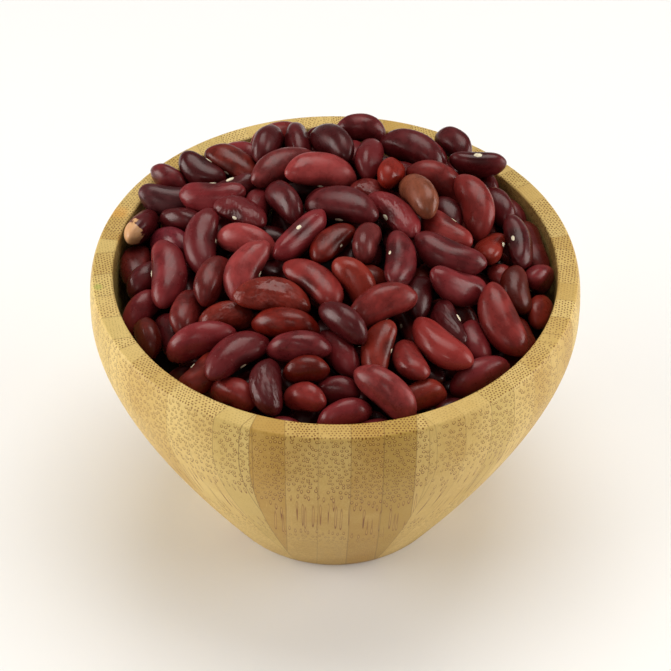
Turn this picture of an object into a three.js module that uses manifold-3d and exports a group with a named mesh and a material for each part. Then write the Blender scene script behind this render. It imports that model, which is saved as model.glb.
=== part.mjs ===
// A round bowl of laminated bamboo, heaped above its rim with dried kidney beans.
// Millimetres, +Z up, origin at the middle of the bowl's foot.
import * as THREE from 'three';
import { mergeVertices } from 'three/addons/utils/BufferGeometryUtils.js';
import Module from 'manifold-3d';

const wasm = await Module();
wasm.setup();

// Bowl: a flat foot, a wall that swells to a belly just under the rim, and a flat rim.
const BOWL_HEIGHT = 77;
const FOOT_RADIUS = 31.3;
const FOOT_EDGE = 1.5;          // rounding between the foot and the wall
const WALL_LEAN = 30.5;         // degrees from upright where the wall leaves the foot
const WALL_REACH = 0.92;        // how much of its height the wall keeps that lean for
const BELLY_RADIUS = 60.5;
const BELLY_DROP = 9;           // from the rim down to the widest ring
const BELLY_STRETCH = 3;        // how far below it the wall already stands upright
const RIM_OUTER_RADIUS = 59;
const RIM_INNER_RADIUS = 54.5;
const RIM_EDGE = 0.5;           // rounding of the rim's inner edge
const HOLLOW_SWELL = 1;         // the hollow widens by this below the rim
const HOLLOW_FLAT = 0.62;       // share of the rim's radius over which the floor levels out
const FLOOR_THICKNESS = 8;

// Straight steps round the bowl, and in each curve of its profile.
const BOWL_SIDES = 48;
const WALL_STEPS = 7;
const FOOT_STEPS = 3;
const SHOULDER_STEPS = 3;
const LIP_STEPS = 2;

// Heap: the middles of the top beans lie on a shallow dome, highest behind the bowl's axis.
const DOME_TOP = 8.8;           // above the rim
const DOME_TOP_Y = 14;
const DOME_FALL_X = 0.0051;     // drop per square millimetre to the sides
const DOME_FALL_Y = 0.0034;     // drop per square millimetre to the front and back
const CORE_DEPTH = 3.3;         // the solid core's skin lies this far under the dome
const CORE_HALF_HEIGHT = 150;   // of the ellipsoid whose top is the core's skin
const CORE_SIDES = 16;
const CLEARANCE = 0.35;         // between the beans and the bowl
const SLIVER = 0.15;            // edges shorter than this are closed up after the join

// Beans: width and thickness follow from the length, and the middle bows sideways.
const WIDTH_LEAST = 4.4;
const WIDTH_PER_LENGTH = 0.24;
const THICKNESS_PER_WIDTH = 0.78;
const BOW_PER_LENGTH = 0.09;
const BOW_REST = 0.4;           // square of the place along the bean that the bow doesn't move
const BLUNTNESS = 2.6;          // 2 is an ellipse, more is blunter at the ends
const BEAN_SIDES = 7;
const BEAN_RINGS = 5;
const BEAN_FATTENING = 1.1;     // makes up for the ends that few rings cut off, and joins what touches

// Beans that the top ones rest on, spread evenly under the dome by the golden angle. They only
// hold the top ones up while the heap settles: in the solid the core takes their place.
const FILLER_COUNT = 66;
const FILLER_SPREAD = 49.5;
const FILLER_DROP = 7;
const FILLER_RING = 43;         // outside this radius the fillers lie along the wall
const FILLER_STRAY = 15;        // degrees by which those stray from it
const FILLER_LENGTH = [14.5, 18];
const FILLER_HILUM = [60, 150];
const GOLDEN_ANGLE = 137.5;
const SEED = 11;

// Settling: the beans push each other apart until they only touch.
const ROUNDS = 140;
const EASE = 0.3;               // share of the rounds over which the pull back home fades
const TOP_HOLD = 0.16;          // pull back to the place given below, each round
const FILLER_HOLD = 0.03;
const REACH = 19;               // beans further apart than this never touch
const NESTLE = 0.1;             // how deep two beans press into each other
const TURN_RATE = 1.5;
const SHIFT_RATE = 1.2;
const LEAST_TOUCHES = 2;
const RIM_SKIRT = 3;            // a ball this little below the rim's flat top is still lifted onto it
const TINY = 1e-9;              // keeps a division by a distance from failing

// Balls in pairs along a bean stand for its body while it settles: their place along it, their
// girth, and how far the two of a pair stand apart.
const SHAFT = [
  { place: -0.62, girth: 0.92, spread: 0.6 },
  { place: -0.21, girth: 1, spread: 1 },
  { place: 0.21, girth: 1, spread: 1 },
  { place: 0.62, girth: 0.92, spread: 0.6 },
];

// The beans below are told as they look from the front, this many degrees above the level.
const SIGHT_HEIGHT = 43.5;

// One row for each bean that shows: x, y, heading (degrees, its hollow side is to the right of it),
// length, hilum (degrees between the line of sight and the scar on the hollow side: under 90 the
// scar faces the eye, over 90 the back does), lift off the dome, and tilt where it doesn't follow
// the dome. These lie half under others.
const LOWER_BEANS = [
  [4.5, -13.5, 305, 14.5, 97, -1.5], [7, -11, 15, 13, 110, -1.5], [20.5, -14.5, 75, 13, 110, -1.5],
  [1, -30.5, 318, 14.5, 120, -1.5], [20.5, -40, 20, 11.5, 110, -1.5], [-49, 5, 100, 14.5, 97, -1.5],
  [-47.5, -11, 40, 13, 110, -1.5], [-43.5, -20, 290, 12, 120, -1.5], [-26, -19.5, 5, 14, 120, -1.5],
  [-35.5, -15.5, 55, 15, 105, -1.5], [-30.5, -34.5, 215, 12.5, 80, -1.5],
  [-24, -39, 325, 12, 110, -1.5], [-6, -43, 348, 11, 115, -1.5], [0.5, -41, 8, 10.5, 115, -1.5],
  [1.5, -45.5, 8, 13.5, 115, -1.5], [33.5, -31, 40, 16.5, 130, -1.5], [34, -24, 105, 12, 110, -1.5],
  [28, -21, 118, 14, 68, -1.5], [43, -1, 325, 12, 60, -1], [44.5, -7.5, 100, 13, 110, 0.3],
  [44, 6.5, 288, 15.5, 40, 0.5], [49, 12, 100, 17, 110, -1], [51, 1, 20, 13, 125, 0.5],
  [40, 5, 76, 15, 58, 0], [42, 24, 320, 13, 110, -1.5], [48, 27.5, 75, 13, 115, -1],
  [-42.5, 30, 320, 11, 120, 0], [-26.5, 39.5, 345, 16, 110, -2.5], [-18, 38, 50, 14.5, 125, 0],
  [-10, 40.5, 288, 15.5, 150, -1], [5.5, 38, 72, 12, 110, -1.5], [6, 42, 355, 13, 110, -1],
  [22.5, 39.5, 335, 16, 125, -1], [30, 40, 300, 13, 110, 0], [39, 35.5, 60, 11, 110, -0.5, -20],
  [-38, 33, 40, 11, 110, -1], [-32, 37, 30, 12, 115, -2], [-15, 44.5, 22, 16, 115, -1.5],
  [32, 38.5, 100, 12, 110, -1.5], [-25, 22.5, 190, 12.5, 60, -1.5], [-2, 45.5, 185, 13, 65, -2],
  [10, -50, 10, 13, 110, -3], [27, -43.5, 32, 12, 110, -3], [-12, -49.5, 350, 12, 110, -3],
  [-46, -1.5, 20, 12, 110, -0.8], [-40, -19, 290, 12, 115, -2], [-1, 32.5, 330, 11, 115, -3],
  [9, 18.5, 350, 12, 75, -1.5], [0, 17, 0, 13, 60, -2], [-20.5, 17.5, 60, 12, 110, -1.5],
  [-27.5, 11, 60, 12, 110, -1.5], [48.5, -10, 60, 11, 110, -1],
  [45.5, -17.5, 100, 12, 110, -1.5], [17, 29, 0, 13, 110, -1.5], [28, 15, 280, 12, 110, -2],
];
// And these lie on top.
const UPPER_BEANS = [
  [-49, 16, 292, 17.5, 105, 0.5], [-39, 16, 325, 13, 140, 0], [-42.5, 23, 195, 15.5, 92, 1.5, 0],
  [-35, 31, 160, 13.5, 92, 1, 0], [-26, 33, 340, 16, 50, 0], [-30.5, 17.5, 157, 17, 85, 0],
  [-42.5, 9.5, 325, 16, 110, 0], [-40, -5, 278, 19, 85, 0.5], [-32, 2.5, 80, 18, 75, 0.5],
  [-23, 10, 315, 14.5, 50, 0.5], [-22, 1, 318, 16, 120, 0.5], [-30, -10, 62, 15, 120, 0.5],
  [-21.5, -8, 60, 17, 80, 0.5], [-9, 1, 230, 18.5, 37, 0.5], [-1, -2, 48, 14, 48, 0.5],
  [7.5, -2.5, 75, 12.5, 120, 0.5], [14, -8.5, 264, 17.5, 60, 0.5], [-4.5, -14, 320, 18, 55, 0.5],
  [-14.5, -18, 357, 18.5, 72, 0.5], [-12, -26, 355, 16.5, 140, 0.5], [2, -27, 320, 14.5, 140, 0.5],
  [10.5, -20.5, 36, 18, 95, 0.5], [-8, -32, 0, 15.5, 140, 0.5], [10.5, -31.5, 75, 14.5, 68, 0.5],
  [17.5, -33.5, 112, 13.5, 110, 0.5], [25, -29.5, 142, 18, 125, 0.5], [-32, -26, 12, 17.5, 130, 0.5],
  [-22, -32.5, 40, 17.5, 72, 0.5], [-15, -41, 95, 14.5, 110, 0.5], [-6.5, -38, 3, 11, 130, 0.5],
  [12, -42, 320, 18, 120, 0.5], [38, -18.5, 115, 19.5, 92, 0.5], [29.5, -11.5, 185, 17, 105, 0.5],
  [27, 7, 130, 16, 80, 0], [28, -0.5, 165, 18.5, 105, 0.5], [2, 9.5, 357, 18.5, 66, 0.5],
  [15, 10, 318, 17, 45, 0.5], [-13, 13.5, 300, 15.5, 120, 0.5], [-12.5, 25, 30, 20, 100, 0.5],
  [-2, 34, 312, 17, 100, -0.5], [-4, 24.5, 355, 19, 75, 0.5], [8.5, 30, 75, 15, 110, 0.5],
  [19, 34.5, 325, 18, 95, 0.5], [25, 26.5, 328, 17, 110, -0.3], [19.5, 14.5, 306, 16.5, 120, 1],
  [14, 23.5, 60, 11.5, 110, -0.5], [36, 34.5, 165, 14.5, 30, 1, 5], [33, 16.5, 288, 18.5, 115, 0.5, -20],
];

// Materials: lacquered bamboo, and the glossy skin of dried beans.
const BAMBOO = new THREE.MeshStandardMaterial({ color: 0xc9a268, roughness: 0.5, metalness: 0 });
const BEAN_SKIN = new THREE.MeshStandardMaterial({ color: 0x5e1d20, roughness: 0.38, metalness: 0 });

const { clamp, degToRad } = THREE.MathUtils;

// ---- Solids ----

const WELD = 1e-5;              // corners nearer than this are one

function welded(geometry) {
  geometry.deleteAttribute('normal');
  geometry.deleteAttribute('uv');
  return mergeVertices(geometry, WELD);
}

function toSolid(geometry) {
  const merged = welded(geometry);
  const corners = merged.index.array;
  const triangles = [];
  for (let i = 0; i < corners.length; i += 3) {
    const [a, b, c] = corners.slice(i, i + 3);
    if (a !== b && b !== c && c !== a) triangles.push(a, b, c);
  }
  return new wasm.Manifold(new wasm.Mesh({
    numProp: 3,
    vertProperties: Float32Array.from(merged.attributes.position.array),
    triVerts: Uint32Array.from(triangles),
  }));
}

function toMesh(solid, name, material) {
  const { vertProperties, triVerts } = solid.getMesh();
  const geometry = new THREE.BufferGeometry();
  geometry.setAttribute('position', new THREE.BufferAttribute(vertProperties, 3));
  geometry.setIndex(new THREE.BufferAttribute(triVerts, 1));
  geometry.computeVertexNormals();
  const mesh = new THREE.Mesh(geometry, material);
  mesh.name = name;
  return mesh;
}

// A profile of radius and height, turned about the Z axis.
function turned(profile) {
  return toSolid(new THREE.LatheGeometry(profile, BOWL_SIDES).rotateX(Math.PI / 2));
}

// ---- Bowl ----

const point = (radius, height) => new THREE.Vector2(radius, height);

// From the rim's inner edge down to the middle of the floor, a deep round hollow.
function innerWall() {
  const curve = new THREE.CubicBezierCurve(
    point(RIM_INNER_RADIUS, BOWL_HEIGHT - RIM_EDGE),
    point(RIM_INNER_RADIUS + HOLLOW_SWELL, BOWL_HEIGHT / 2),
    point(RIM_INNER_RADIUS * HOLLOW_FLAT, FLOOR_THICKNESS),
    point(0, FLOOR_THICKNESS),
  );
  return curve.getPoints(WALL_STEPS);
}

// From the foot up the outside, over the rim and down the inside.
function bowlProfile() {
  const lean = degToRad(WALL_LEAN);
  const edge = new THREE.EllipseCurve(
    FOOT_RADIUS - FOOT_EDGE * Math.cos(lean), FOOT_EDGE, FOOT_EDGE, FOOT_EDGE, -Math.PI / 2, -lean,
  ).getPoints(FOOT_STEPS);
  const foot = edge.at(-1);
  const belly = point(BELLY_RADIUS, BOWL_HEIGHT - BELLY_DROP);
  const handle = WALL_REACH * (belly.y - foot.y);
  const wall = new THREE.CubicBezierCurve(
    foot,
    point(foot.x + handle * Math.sin(lean), foot.y + handle * Math.cos(lean)),
    point(BELLY_RADIUS, belly.y - BELLY_STRETCH),
    belly,
  ).getPoints(WALL_STEPS);
  const shoulder = new THREE.EllipseCurve(
    RIM_OUTER_RADIUS, belly.y, BELLY_RADIUS - RIM_OUTER_RADIUS, BELLY_DROP, 0, Math.PI / 2,
  ).getPoints(SHOULDER_STEPS);
  const lip = new THREE.EllipseCurve(
    RIM_INNER_RADIUS + RIM_EDGE, BOWL_HEIGHT - RIM_EDGE, RIM_EDGE, RIM_EDGE, Math.PI / 2, Math.PI,
  ).getPoints(LIP_STEPS);
  return [point(0, 0), ...edge, ...wall.slice(1), ...shoulder.slice(1), ...lip, ...innerWall().slice(1)];
}

// The same profile a little outside itself, for what has to stay clear of the bowl.
function grown(profile, distance) {
  return profile.map((here, i) => {
    const before = profile[Math.max(i - 1, 0)];
    const after = profile[Math.min(i + 1, profile.length - 1)];
    const run = after.clone().sub(before).normalize();
    return point(here.x === 0 ? 0 : here.x + distance * run.y, here.y - distance * run.x);
  });
}

// ---- Beans ----

const beanWidth = (length) => WIDTH_LEAST + WIDTH_PER_LENGTH * length;

function domeHeight(x, y) {
  return DOME_TOP - DOME_FALL_X * x * x - DOME_FALL_Y * (y - DOME_TOP_Y) ** 2;
}

function combine(a, u, b, v) {
  return u.clone().multiplyScalar(a).addScaledVector(v, b);
}

// The way a bean's hollow side faces, square to the bean, so that it is seen at the given angle or
// as near to it as the bean can be rolled.
function hollowSide(right, above, hilum) {
  const height = degToRad(SIGHT_HEIGHT);
  const sight = new THREE.Vector3(0, -Math.cos(height), Math.sin(height));
  const sideways = right.dot(sight);
  const upwards = above.dot(sight);
  const share = clamp(Math.cos(degToRad(hilum)) / Math.hypot(sideways, upwards), -1, 1);
  const roll = Math.atan2(upwards, sideways) - Math.acos(share);
  return combine(Math.cos(roll), right, Math.sin(roll), above);
}

function makeBall(length, place, girth, spread, row) {
  const width = beanWidth(length);
  const thickness = THICKNESS_PER_WIDTH * width;
  const bow = BOW_PER_LENGTH * length * (place * place - BOW_REST);
  return {
    along: place * length / 2,
    across: bow + row * spread * (width - thickness) / 2,
    radius: girth * thickness / 2 - NESTLE,
    arm: new THREE.Vector3(),
    spot: new THREE.Vector3(),
    push: new THREE.Vector3(),
    touched: false,
  };
}

// A bean at its first place, with the balls that stand for its body. Heights are counted from the
// rim.
function makeBean([x, y, heading, length, hilum, lift, tilt], hold) {
  const turn = degToRad(heading);
  const fall = -2 * DOME_FALL_X * x * Math.cos(turn) - 2 * DOME_FALL_Y * (y - DOME_TOP_Y) * Math.sin(turn);
  const slope = tilt === undefined ? Math.atan(fall) : degToRad(tilt);
  const forward = new THREE.Vector3(Math.cos(turn), Math.sin(turn), 0);
  const right = new THREE.Vector3(Math.sin(turn), -Math.cos(turn), 0);
  const up = new THREE.Vector3(0, 0, 1);
  const along = combine(Math.cos(slope), forward, Math.sin(slope), up);
  const above = combine(Math.cos(slope), up, -Math.sin(slope), forward);
  const across = hollowSide(right, above, hilum);
  const centre = new THREE.Vector3(x, y, domeHeight(x, y) + lift);
  const balls = SHAFT.flatMap(({ place, girth, spread }) => (
    [-1, 1].map((row) => makeBall(length, place, girth, spread, row))
  ));
  const home = { centre: centre.clone(), along: along.clone(), across: across.clone() };
  return { centre, along, across, length, hold, balls, home };
}

// The same steps of a simple generator give the same fillers each time.
function makeDraw(seed) {
  const factor = 1664525;
  const step = 1013904223;
  const range = 2 ** 32;
  let state = seed;
  return (low, high) => {
    state = (state * factor + step) % range;
    return low + (high - low) * state / range;
  };
}

function makeFillers() {
  const draw = makeDraw(SEED);
  return Array.from({ length: FILLER_COUNT }, (_, i) => {
    const radius = FILLER_SPREAD * Math.sqrt((i + 0.5) / FILLER_COUNT);
    const angle = GOLDEN_ANGLE * i;
    const free = draw(0, 360);
    const heading = radius > FILLER_RING ? angle + 90 + draw(-FILLER_STRAY, FILLER_STRAY) : free;
    const length = draw(...FILLER_LENGTH);
    const hilum = draw(...FILLER_HILUM);
    const x = radius * Math.cos(degToRad(angle));
    const y = radius * Math.sin(degToRad(angle));
    return makeBean([x, y, heading, length, hilum, -FILLER_DROP], FILLER_HOLD);
  });
}

// ---- Settling ----

function placeBalls(bean) {
  for (const ball of bean.balls) {
    ball.arm.copy(combine(ball.along, bean.along, ball.across, bean.across));
    ball.spot.copy(bean.centre).add(ball.arm);
    ball.push.set(0, 0, 0);
    ball.touched = false;
  }
}

function pushApart(one, other) {
  const apart = new THREE.Vector3();
  for (const a of one.balls) {
    for (const b of other.balls) {
      apart.subVectors(a.spot, b.spot);
      const distance = apart.length() + TINY;
      const overlap = a.radius + b.radius - distance;
      if (overlap <= 0) continue;
      a.push.addScaledVector(apart, overlap / 2 / distance);
      b.push.addScaledVector(apart, -overlap / 2 / distance);
      a.touched = true;
      b.touched = true;
    }
  }
}

// The bowl pushes back as an upright wall below the rim, and as a flat top outside its inner edge.
function pushOffBowl(ball) {
  const { x, y, z } = ball.spot;
  const out = Math.hypot(x, y);
  const radial = new THREE.Vector3(x / out, y / out, 0);
  const room = ball.radius + CLEARANCE;
  const past = out - RIM_INNER_RADIUS;
  const toEdge = Math.hypot(past, z);
  if (z < 0 && past + room > 0) {
    ball.push.addScaledVector(radial, -(past + room));
    ball.touched = true;
  }
  if (z >= 0 && past < 0 && toEdge < room) {
    const share = (room - toEdge) / toEdge;
    ball.push.addScaledVector(radial, past * share);
    ball.push.z += z * share;
    ball.touched = true;
  }
  if (past >= 0 && z > -RIM_SKIRT && z < room) {
    ball.push.z += room - z;
    ball.touched = true;
  }
}

function moveBean(bean, pull) {
  const shift = new THREE.Vector3();
  const turn = new THREE.Vector3();
  const cross = new THREE.Vector3();
  let armsSquared = 0;
  let touches = 0;
  for (const ball of bean.balls) {
    shift.add(ball.push);
    turn.add(cross.crossVectors(ball.arm, ball.push));
    armsSquared += ball.arm.lengthSq();
    touches += ball.touched ? 1 : 0;
  }
  turn.multiplyScalar(TURN_RATE / armsSquared);
  turn.addScaledVector(cross.crossVectors(bean.along, bean.home.along), pull);
  turn.addScaledVector(cross.crossVectors(bean.across, bean.home.across), pull);
  const homeward = bean.home.centre.clone().sub(bean.centre);
  bean.centre.addScaledVector(shift, SHIFT_RATE / Math.max(LEAST_TOUCHES, touches));
  bean.centre.addScaledVector(homeward, pull);
  bean.along.add(cross.crossVectors(turn, bean.along)).normalize();
  bean.across.add(cross.crossVectors(turn, bean.across));
  bean.across.addScaledVector(bean.along, -bean.along.dot(bean.across)).normalize();
}

function settle(beans) {
  for (let round = 0; round < ROUNDS; round += 1) {
    beans.forEach(placeBalls);
    beans.forEach((bean, i) => {
      for (const other of beans.slice(i + 1)) {
        if (bean.centre.distanceToSquared(other.centre) < REACH * REACH) pushApart(bean, other);
      }
    });
    const fade = Math.min(1, (ROUNDS - round) / (ROUNDS * EASE));
    for (const bean of beans) {
      bean.balls.forEach(pushOffBowl);
      moveBean(bean, fade * bean.hold);
    }
  }
}

// ---- Heap ----

// A bean's body: a sphere stretched to a blunt oval and bowed away from its hilum. Its few sides
// stand out as far as they cut in, so that it takes the room of the round bean.
function beanSolid(bean) {
  const geometry = welded(new THREE.SphereGeometry(1, BEAN_SIDES, BEAN_RINGS));
  const width = beanWidth(bean.length);
  const share = 2 * Math.PI / BEAN_SIDES;
  const swell = BEAN_FATTENING * Math.sqrt(share / Math.sin(share));
  const position = geometry.attributes.position;
  for (let i = 0; i < position.count; i += 1) {
    const place = position.getY(i);
    const round = Math.hypot(position.getX(i), position.getZ(i));
    const blunt = Math.sqrt(Math.max(0, 1 - Math.abs(place) ** BLUNTNESS));
    const girth = swell * blunt / Math.max(round, TINY);
    position.setXYZ(
      i,
      place * bean.length / 2,
      position.getZ(i) * girth * width / 2 + BOW_PER_LENGTH * bean.length * (place * place - BOW_REST),
      position.getX(i) * girth * width * THICKNESS_PER_WIDTH / 2,
    );
  }
  const face = new THREE.Vector3().crossVectors(bean.along, bean.across);
  const frame = new THREE.Matrix4().makeBasis(bean.along, bean.across, face);
  frame.setPosition(bean.centre.x, bean.centre.y, bean.centre.z + BOWL_HEIGHT);
  return toSolid(geometry.applyMatrix4(frame));
}

// The inside of the bowl, up to a smooth dome that lies under the beans.
function coreSolid() {
  const above = BOWL_HEIGHT + DOME_TOP;
  const hollow = turned([...innerWall().reverse(), point(RIM_INNER_RADIUS, above), point(0, above)]);
  const dome = new THREE.SphereGeometry(1, CORE_SIDES, CORE_SIDES).rotateX(Math.PI / 2);
  dome.scale(
    Math.sqrt(CORE_HALF_HEIGHT / (2 * DOME_FALL_X)),
    Math.sqrt(CORE_HALF_HEIGHT / (2 * DOME_FALL_Y)),
    CORE_HALF_HEIGHT,
  );
  dome.translate(0, DOME_TOP_Y, above - CORE_DEPTH - CORE_HALF_HEIGHT);
  return hollow.intersect(toSolid(dome));
}

function heapSolid() {
  const shown = [...LOWER_BEANS, ...UPPER_BEANS].map((row) => makeBean(row, TOP_HOLD));
  settle([...makeFillers(), ...shown]);
  const fused = wasm.Manifold.union([coreSolid(), ...shown.map(beanSolid)]);
  const cut = fused.subtract(turned(grown(bowlProfile(), CLEARANCE)));
  const pieces = cut.simplify(SLIVER).decompose();
  return pieces.reduce((largest, piece) => (piece.volume() > largest.volume() ? piece : largest));
}

const bowlOfBeans = new THREE.Group();
bowlOfBeans.name = 'bowl_of_beans';
bowlOfBeans.add(toMesh(turned(bowlProfile()), 'bowl', BAMBOO));
bowlOfBeans.add(toMesh(heapSolid(), 'beans', BEAN_SKIN));

export default bowlOfBeans;
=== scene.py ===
"""A laminated bamboo bowl heaped with dried kidney beans, built as a small add-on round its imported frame."""

import math
import bmesh
import bpy
import numpy as np
from bpy.props import FloatProperty, FloatVectorProperty, IntProperty, PointerProperty
from mathutils import Matrix, Vector, noise


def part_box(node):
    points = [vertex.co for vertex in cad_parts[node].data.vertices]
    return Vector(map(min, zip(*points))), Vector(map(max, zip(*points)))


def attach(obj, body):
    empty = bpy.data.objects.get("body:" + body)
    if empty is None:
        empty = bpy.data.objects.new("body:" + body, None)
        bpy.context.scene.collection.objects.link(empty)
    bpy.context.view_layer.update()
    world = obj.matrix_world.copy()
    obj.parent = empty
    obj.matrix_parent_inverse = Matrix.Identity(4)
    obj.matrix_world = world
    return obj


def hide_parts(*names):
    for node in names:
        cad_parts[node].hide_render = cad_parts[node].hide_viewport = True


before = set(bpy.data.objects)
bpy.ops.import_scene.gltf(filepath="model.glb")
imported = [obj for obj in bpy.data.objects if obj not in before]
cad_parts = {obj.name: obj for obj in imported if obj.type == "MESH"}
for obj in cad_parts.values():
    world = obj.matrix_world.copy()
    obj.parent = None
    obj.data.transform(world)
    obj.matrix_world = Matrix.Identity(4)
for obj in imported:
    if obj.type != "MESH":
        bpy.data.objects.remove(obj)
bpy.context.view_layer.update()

bl_info = {
    "name": "Bowl of dried beans",
    "version": (1, 0, 0),
    "blender": (4, 5, 0),
    "location": "View3D > Sidebar > Beans",
    "description": "Models a bamboo bowl and the heap of kidney beans in it",
    "category": "Object",
}

MM = 0.001
BODY = "root"
_, BOWL_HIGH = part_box("bowl")

# Bowl, in millimetres. Heights of the pattern are counted from the rim.
FOOT_EDGE = 1.5                 # rounding between the foot and the wall
WALL_LEAN = 30.5                # degrees from upright where the wall leaves the foot
WALL_REACH = 0.92               # how much of its height the wall keeps that lean for
BELLY_DROP = 9.0                # from the rim down to the widest ring
BELLY_STRETCH = 3.0             # how far below it the wall already stands upright
RIM_EDGE = 0.5                  # rounding of the rim's inner edge
HOLLOW_SWELL = 1.0              # the hollow widens by this below the rim
HOLLOW_FLAT = 0.62              # share of the rim's radius over which the floor levels out
SHARP = 0.2                     # extra rings this far from a crease keep the flats flat
WALL_POINTS = 28                # points on each curve of the profile
SHOULDER_POINTS = 13
EDGE_POINTS = 5
HOLLOW_POINTS = 22
WELD = 0.001                    # corners nearer than this are one

# The bowl is turned from blocks glued in a ring, each of upright strips side by side.
BLOCKS = 9
BLOCK_TURN = 360 / BLOCKS
FIRST_BLOCK = 1.3               # degrees to the right of the front, middle of the first block
FIRST_STRIP, LAST_STRIP = -3, 2     # counted from the one right of the middle joint
STRIP_WIDTH = 7.0               # of a usual strip
GLUE_EDGE = (0.03, 0.2)         # a glue line fades out between these distances from its middle
RING_STEPS = 180                # faces round the bowl
HEX_SLANT = math.sqrt(1 / 3)    # slants the rows of bundles so that each has six neighbours
# For each block: where one joint lies beside the middle, the width of its strips, and how far their
# colour leans from straw to tan.
STRIPS = [
    (2.6, 7.5, 0.7), (3.0, 7.3, 0.55), (2.4, 6.2, 0.5), (1.5, 6.6, 0.5), (-1.0, 7.4, 0.6),
    (3.1, 7.0, 0.4), (2.0, 7.2, 0.55), (1.0, 7.8, 0.35), (-1.5, 6.6, 0.4),
]
# Stains on the rim: place, radius, colour (sRGB hex), strength.
STAINS = [((-57.5, -9), 1.5, 0x93A83C, 0.45), ((-54.4, 19), 3.2, 0xE09A3E, 0.4)]
# The cut ends of the fibre bundles show as rings with a pale heart, and on the flat rim, where they
# are cut straight across, as dots. Jitter shakes them out of line. An edge is where each fades out,
# counted from its middle in spacings.
BUNDLE_SPACING, DOT_SPACING = 1.35, 0.82
BUNDLE_JITTER, DOT_JITTER = 0.6, 0.3
HEART_EDGE, RING_EDGE, DOT_EDGE = (0.13, 0.2), (0.25, 0.31), (0.17, 0.3)
RIM_FADE = (-0.9, -0.2)         # over these heights the rings give way to the dots
STRAY_BESIDE, STRAY_DOWN = 1.8, 1.6     # how far their rows wander
# Between these heights the wall runs nearly along the fibres, which draws the rings out into streaks.
STREAK_TOP = -12.0
STREAK_END = -56.0
STREAK_LOSS = 29.0              # height of the rings that are lost by it
STREAK_STRAY = 9.0              # how far the strips differ in where it happens

# Heap, in millimetres. The middles of the top beans lie on a shallow dome.
DOME_TOP = 8.8                  # above the rim
DOME_TOP_Y = 14.0
DOME_FALL_X = 0.0051            # drop per square millimetre to the sides
DOME_FALL_Y = 0.0034            # drop per square millimetre to the front and back
CLEARANCE = 0.35                # between the beans and the bowl
BED_DROP = 8.5                  # the dark bed lies this far under the dome

# Beans: width and thickness follow from the length, and the middle bows sideways.
WIDTH_LEAST = 4.4
WIDTH_PER_LENGTH = 0.24
THICKNESS_PER_WIDTH = 0.78
BOW_PER_LENGTH = 0.09
BOW_REST = 0.4                  # square of the place along the bean that the bow doesn't move
BLUNTNESS = 2.6                 # 2 is an ellipse, more is blunter at the ends
END_STRETCH = 1.02              # the cage has no point at the very ends
HILUM_SIZE = (2.5, 1.35, 0.7)   # length, width and thickness
HILUM_SINK = 0.14               # its middle lies this far under the skin
TAPER = 0.07                    # one end is up to this share thicker than the middle
DIP = (0.1, 0.35)               # depth of the dent round the hilum
DIP_REACH = 0.3                 # half its length, as a share of half the bean's
LUMPINESS = 1.1                 # how close together a skin's lumps lie
BEAN_CUTS, BEAN_LEVELS = 2, 2   # cuts in a ball's faces, and levels of subdivision
HILUM_CUTS, HILUM_LEVELS = 1, 1

# Beans that the top ones rest on, spread evenly under the dome by the golden angle.
FILLER_COUNT = 66
FILLER_SPREAD = 49.5
FILLER_DROP = 7.0
FILLER_RING = 43.0              # outside this radius the fillers lie along the wall
FILLER_STRAY = 15.0             # degrees by which those stray from it
FILLER_LENGTH = (14.5, 18.0)
FILLER_HILUM = (60.0, 150.0)
FILLER_SEED = 11
GOLDEN_ANGLE = 137.5
FILLER_PAINTED_SHADE = 0.9                # painted shade: their skins are this much darker, for the shade deep in the heap
DEEP_KINDS = ("maroon", "dark", "red", "dark", "maroon", "russet", "maroon", "dark")

# Settling: the beans push each other apart until they only touch. Balls in pairs along a bean
# stand for its body: place along it, girth, and how far the pair stands apart.
ROUNDS = 140
EASE = 0.3                      # share of the rounds over which the pull back home fades
TOP_HOLD = 0.16                 # pull back to the place given below, each round
FILLER_HOLD = 0.03
REACH = 19.0                    # beans further apart than this never touch
NESTLE = 0.1                    # how deep two beans press into each other
TURN_RATE = 1.5
SHIFT_RATE = 1.2
LEAST_TOUCHES = 2
RIM_SKIRT = 3.0                 # a ball this little below the rim's flat top is still lifted onto it
TINY = 1e-9                     # keeps a division by a distance from failing
SHAFT = [(-0.62, 0.92, 0.6), (-0.21, 1, 1), (0.21, 1, 1), (0.62, 0.92, 0.6)]

# The beans below are told as they look from the front, this many degrees above the level.
SIGHT_HEIGHT = 43.5

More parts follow.
